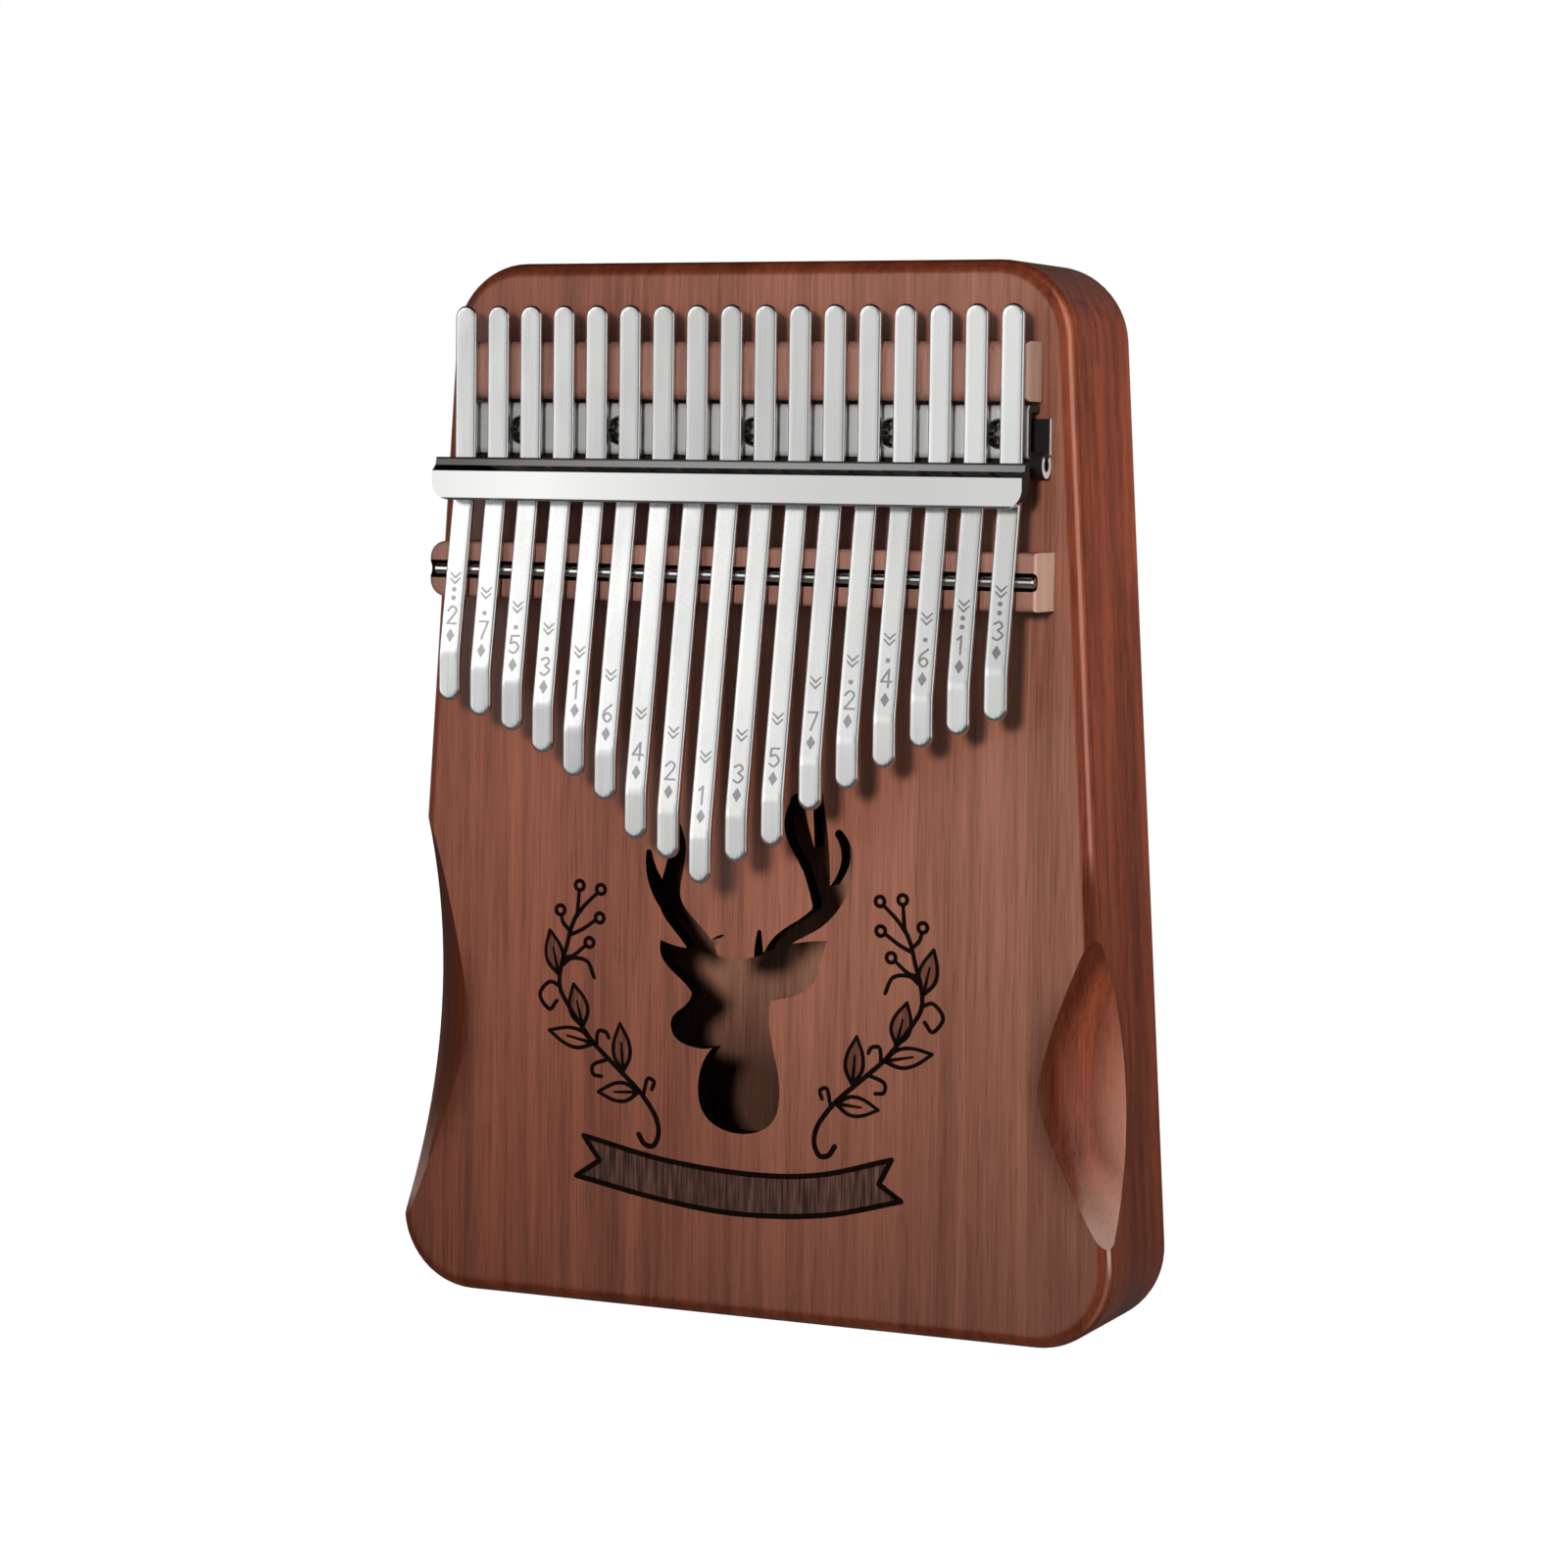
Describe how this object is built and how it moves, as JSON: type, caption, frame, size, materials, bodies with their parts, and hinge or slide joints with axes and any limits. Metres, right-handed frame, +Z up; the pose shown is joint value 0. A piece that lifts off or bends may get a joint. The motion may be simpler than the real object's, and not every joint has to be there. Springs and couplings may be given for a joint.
{
  "type": "mbira",
  "caption": "Modern mbira (kalimba): a hollow tapered mahogany box with a stag-head sound hole, hand scoops and spring-steel tines clamped over a bridge by a chromed bar.",
  "frame": {"origin": "middle of the flat foot the box stands on, half way through its depth", "axes": "+Z up the instrument from its foot to the tines' clamped ends, -Y out of the sounding face, +X to the player's right"},
  "size_m": [0.1372, 0.05, 0.185],
  "materials": {
    "box_wood": "satin",
    "strip_wood": "satin",
    "tine_steel": "satin",
    "bright_chrome": "polished",
    "rod_steel": "polished"
  },
  "bodies": {
    "box": {"soundboard": "box_wood", "side_rim": "box_wood", "back_plate": "box_wood", "bridge_block": "strip_wood", "rear_strip": "strip_wood", "front_strip": "strip_wood", "saddle_rod": "rod_steel", "base_bracket": "bright_chrome", "bracket_screws": "bright_chrome", "pressure_bar": "bright_chrome", "clamp_bolts": "rod_steel", "clamp_washers": "rod_steel"},
    "tine_01_root": {"tine_01_root": "tine_steel"},
    "tine_01_blade": {"tine_01_blade": "tine_steel"},
    "tine_02_root": {"tine_02_root": "tine_steel"},
    "tine_02_blade": {"tine_02_blade": "tine_steel"},
    "tine_03_root": {"tine_03_root": "tine_steel"},
    "tine_03_blade": {"tine_03_blade": "tine_steel"},
    "tine_04_root": {"tine_04_root": "tine_steel"},
    "tine_04_blade": {"tine_04_blade": "tine_steel"},
    "tine_05_root": {"tine_05_root": "tine_steel"},
    "tine_05_blade": {"tine_05_blade": "tine_steel"},
    "tine_06_root": {"tine_06_root": "tine_steel"},
    "tine_06_blade": {"tine_06_blade": "tine_steel"},
    "tine_07_root": {"tine_07_root": "tine_steel"},
    "tine_07_blade": {"tine_07_blade": "tine_steel"},
    "tine_08_root": {"tine_08_root": "tine_steel"},
    "tine_08_blade": {"tine_08_blade": "tine_steel"},
    "tine_09_root": {"tine_09_root": "tine_steel"},
    "tine_09_blade": {"tine_09_blade": "tine_steel"},
    "tine_10_root": {"tine_10_root": "tine_steel"},
    "tine_10_blade": {"tine_10_blade": "tine_steel"},
    "tine_11_root": {"tine_11_root": "tine_steel"},
    "tine_11_blade": {"tine_11_blade": "tine_steel"},
    "tine_12_root": {"tine_12_root": "tine_steel"},
    "tine_12_blade": {"tine_12_blade": "tine_steel"},
    "tine_13_root": {"tine_13_root": "tine_steel"},
    "tine_13_blade": {"tine_13_blade": "tine_steel"},
    "tine_14_root": {"tine_14_root": "tine_steel"},
    "tine_14_blade": {"tine_14_blade": "tine_steel"},
    "tine_15_root": {"tine_15_root": "tine_steel"},
    "tine_15_blade": {"tine_15_blade": "tine_steel"},
    "tine_16_root": {"tine_16_root": "tine_steel"},
    "tine_16_blade": {"tine_16_blade": "tine_steel"},
    "tine_17_root": {"tine_17_root": "tine_steel"},
    "tine_17_blade": {"tine_17_blade": "tine_steel"}
  },
  "joints": [
    {"name": "tine_01_tuning", "type": "slide", "parent": "box", "child": "tine_01_root", "axis": [0, -0.0863, -0.9963], "range_m": [-0.0015, 0.0015]},
    {"name": "tine_01_pluck", "type": "hinge", "parent": "tine_01_root", "child": "tine_01_blade", "pos_m": [-0.05136, -0.02657, 0.1298], "axis": [1, 0, 0], "range_deg": [-3, 3], "stiffness_Nm_per_rad": 0.0093},
    {"name": "tine_02_tuning", "type": "slide", "parent": "box", "child": "tine_02_root", "axis": [0, -0.0863, -0.9963], "range_m": [-0.0015, 0.0015]},
    {"name": "tine_02_pluck", "type": "hinge", "parent": "tine_02_root", "child": "tine_02_blade", "pos_m": [-0.04494, -0.02657, 0.1298], "axis": [1, 0, 0], "range_deg": [-3, 3], "stiffness_Nm_per_rad": 0.013},
    {"name": "tine_03_tuning", "type": "slide", "parent": "box", "child": "tine_03_root", "axis": [0, -0.0863, -0.9963], "range_m": [-0.0015, 0.0015]},
    {"name": "tine_03_pluck", "type": "hinge", "parent": "tine_03_root", "child": "tine_03_blade", "pos_m": [-0.03852, -0.02657, 0.1298], "axis": [1, 0, 0], "range_deg": [-3, 3], "stiffness_Nm_per_rad": 0.017},
    {"name": "tine_04_tuning", "type": "slide", "parent": "box", "child": "tine_04_root", "axis": [0, -0.0863, -0.9963], "range_m": [-0.0015, 0.0015]},
    {"name": "tine_04_pluck", "type": "hinge", "parent": "tine_04_root", "child": "tine_04_blade", "pos_m": [-0.0321, -0.02657, 0.1298], "axis": [1, 0, 0], "range_deg": [-3, 3], "stiffness_Nm_per_rad": 0.025},
    {"name": "tine_05_tuning", "type": "slide", "parent": "box", "child": "tine_05_root", "axis": [0, -0.0863, -0.9963], "range_m": [-0.0015, 0.0015]},
    {"name": "tine_05_pluck", "type": "hinge", "parent": "tine_05_root", "child": "tine_05_blade", "pos_m": [-0.02568, -0.02657, 0.1298], "axis": [1, 0, 0], "range_deg": [-3, 3], "stiffness_Nm_per_rad": 0.035},
    {"name": "tine_06_tuning", "type": "slide", "parent": "box", "child": "tine_06_root", "axis": [0, -0.0863, -0.9963], "range_m": [-0.0015, 0.0015]},
    {"name": "tine_06_pluck", "type": "hinge", "parent": "tine_06_root", "child": "tine_06_blade", "pos_m": [-0.01926, -0.02657, 0.1298], "axis": [1, 0, 0], "range_deg": [-3, 3], "stiffness_Nm_per_rad": 0.048},
    {"name": "tine_07_tuning", "type": "slide", "parent": "box", "child": "tine_07_root", "axis": [0, -0.0863, -0.9963], "range_m": [-0.0015, 0.0015]},
    {"name": "tine_07_pluck", "type": "hinge", "parent": "tine_07_root", "child": "tine_07_blade", "pos_m": [-0.01284, -0.02657, 0.1298], "axis": [1, 0, 0], "range_deg": [-3, 3], "stiffness_Nm_per_rad": 0.077},
    {"name": "tine_08_tuning", "type": "slide", "parent": "box", "child": "tine_08_root", "axis": [0, -0.0863, -0.9963], "range_m": [-0.0015, 0.0015]},
    {"name": "tine_08_pluck", "type": "hinge", "parent": "tine_08_root", "child": "tine_08_blade", "pos_m": [-0.00642, -0.02657, 0.1298], "axis": [1, 0, 0], "range_deg": [-3, 3], "stiffness_Nm_per_rad": 0.094},
    {"name": "tine_09_tuning", "type": "slide", "parent": "box", "child": "tine_09_root", "axis": [0, -0.0863, -0.9963], "range_m": [-0.0015, 0.0015]},
    {"name": "tine_09_pluck", "type": "hinge", "parent": "tine_09_root", "child": "tine_09_blade", "pos_m": [0, -0.02657, 0.1298], "axis": [1, 0, 0], "range_deg": [-3, 3], "stiffness_Nm_per_rad": 0.12},
    {"name": "tine_10_tuning", "type": "slide", "parent": "box", "child": "tine_10_root", "axis": [0, -0.0863, -0.9963], "range_m": [-0.0015, 0.0015]},
    {"name": "tine_10_pluck", "type": "hinge", "parent": "tine_10_root", "child": "tine_10_blade", "pos_m": [0.00642, -0.02657, 0.1298], "axis": [1, 0, 0], "range_deg": [-3, 3], "stiffness_Nm_per_rad": 0.094},
    {"name": "tine_11_tuning", "type": "slide", "parent": "box", "child": "tine_11_root", "axis": [0, -0.0863, -0.9963], "range_m": [-0.0015, 0.0015]},
    {"name": "tine_11_pluck", "type": "hinge", "parent": "tine_11_root", "child": "tine_11_blade", "pos_m": [0.01284, -0.02657, 0.1298], "axis": [1, 0, 0], "range_deg": [-3, 3], "stiffness_Nm_per_rad": 0.077},
    {"name": "tine_12_tuning", "type": "slide", "parent": "box", "child": "tine_12_root", "axis": [0, -0.0863, -0.9963], "range_m": [-0.0015, 0.0015]},
    {"name": "tine_12_pluck", "type": "hinge", "parent": "tine_12_root", "child": "tine_12_blade", "pos_m": [0.01926, -0.02657, 0.1298], "axis": [1, 0, 0], "range_deg": [-3, 3], "stiffness_Nm_per_rad": 0.048},
    {"name": "tine_13_tuning", "type": "slide", "parent": "box", "child": "tine_13_root", "axis": [0, -0.0863, -0.9963], "range_m": [-0.0015, 0.0015]},
    {"name": "tine_13_pluck", "type": "hinge", "parent": "tine_13_root", "child": "tine_13_blade", "pos_m": [0.02568, -0.02657, 0.1298], "axis": [1, 0, 0], "range_deg": [-3, 3], "stiffness_Nm_per_rad": 0.035},
    {"name": "tine_14_tuning", "type": "slide", "parent": "box", "child": "tine_14_root", "axis": [0, -0.0863, -0.9963], "range_m": [-0.0015, 0.0015]},
    {"name": "tine_14_pluck", "type": "hinge", "parent": "tine_14_root", "child": "tine_14_blade", "pos_m": [0.0321, -0.02657, 0.1298], "axis": [1, 0, 0], "range_deg": [-3, 3], "stiffness_Nm_per_rad": 0.025},
    {"name": "tine_15_tuning", "type": "slide", "parent": "box", "child": "tine_15_root", "axis": [0, -0.0863, -0.9963], "range_m": [-0.0015, 0.0015]},
    {"name": "tine_15_pluck", "type": "hinge", "parent": "tine_15_root", "child": "tine_15_blade", "pos_m": [0.03852, -0.02657, 0.1298], "axis": [1, 0, 0], "range_deg": [-3, 3], "stiffness_Nm_per_rad": 0.017},
    {"name": "tine_16_tuning", "type": "slide", "parent": "box", "child": "tine_16_root", "axis": [0, -0.0863, -0.9963], "range_m": [-0.0015, 0.0015]},
    {"name": "tine_16_pluck", "type": "hinge", "parent": "tine_16_root", "child": "tine_16_blade", "pos_m": [0.04494, -0.02657, 0.1298], "axis": [1, 0, 0], "range_deg": [-3, 3], "stiffness_Nm_per_rad": 0.013},
    {"name": "tine_17_tuning", "type": "slide", "parent": "box", "child": "tine_17_root", "axis": [0, -0.0863, -0.9963], "range_m": [-0.0015, 0.0015]},
    {"name": "tine_17_pluck", "type": "hinge", "parent": "tine_17_root", "child": "tine_17_blade", "pos_m": [0.05136, -0.02657, 0.1298], "axis": [1, 0, 0], "range_deg": [-3, 3], "stiffness_Nm_per_rad": 0.0093}
  ]
}
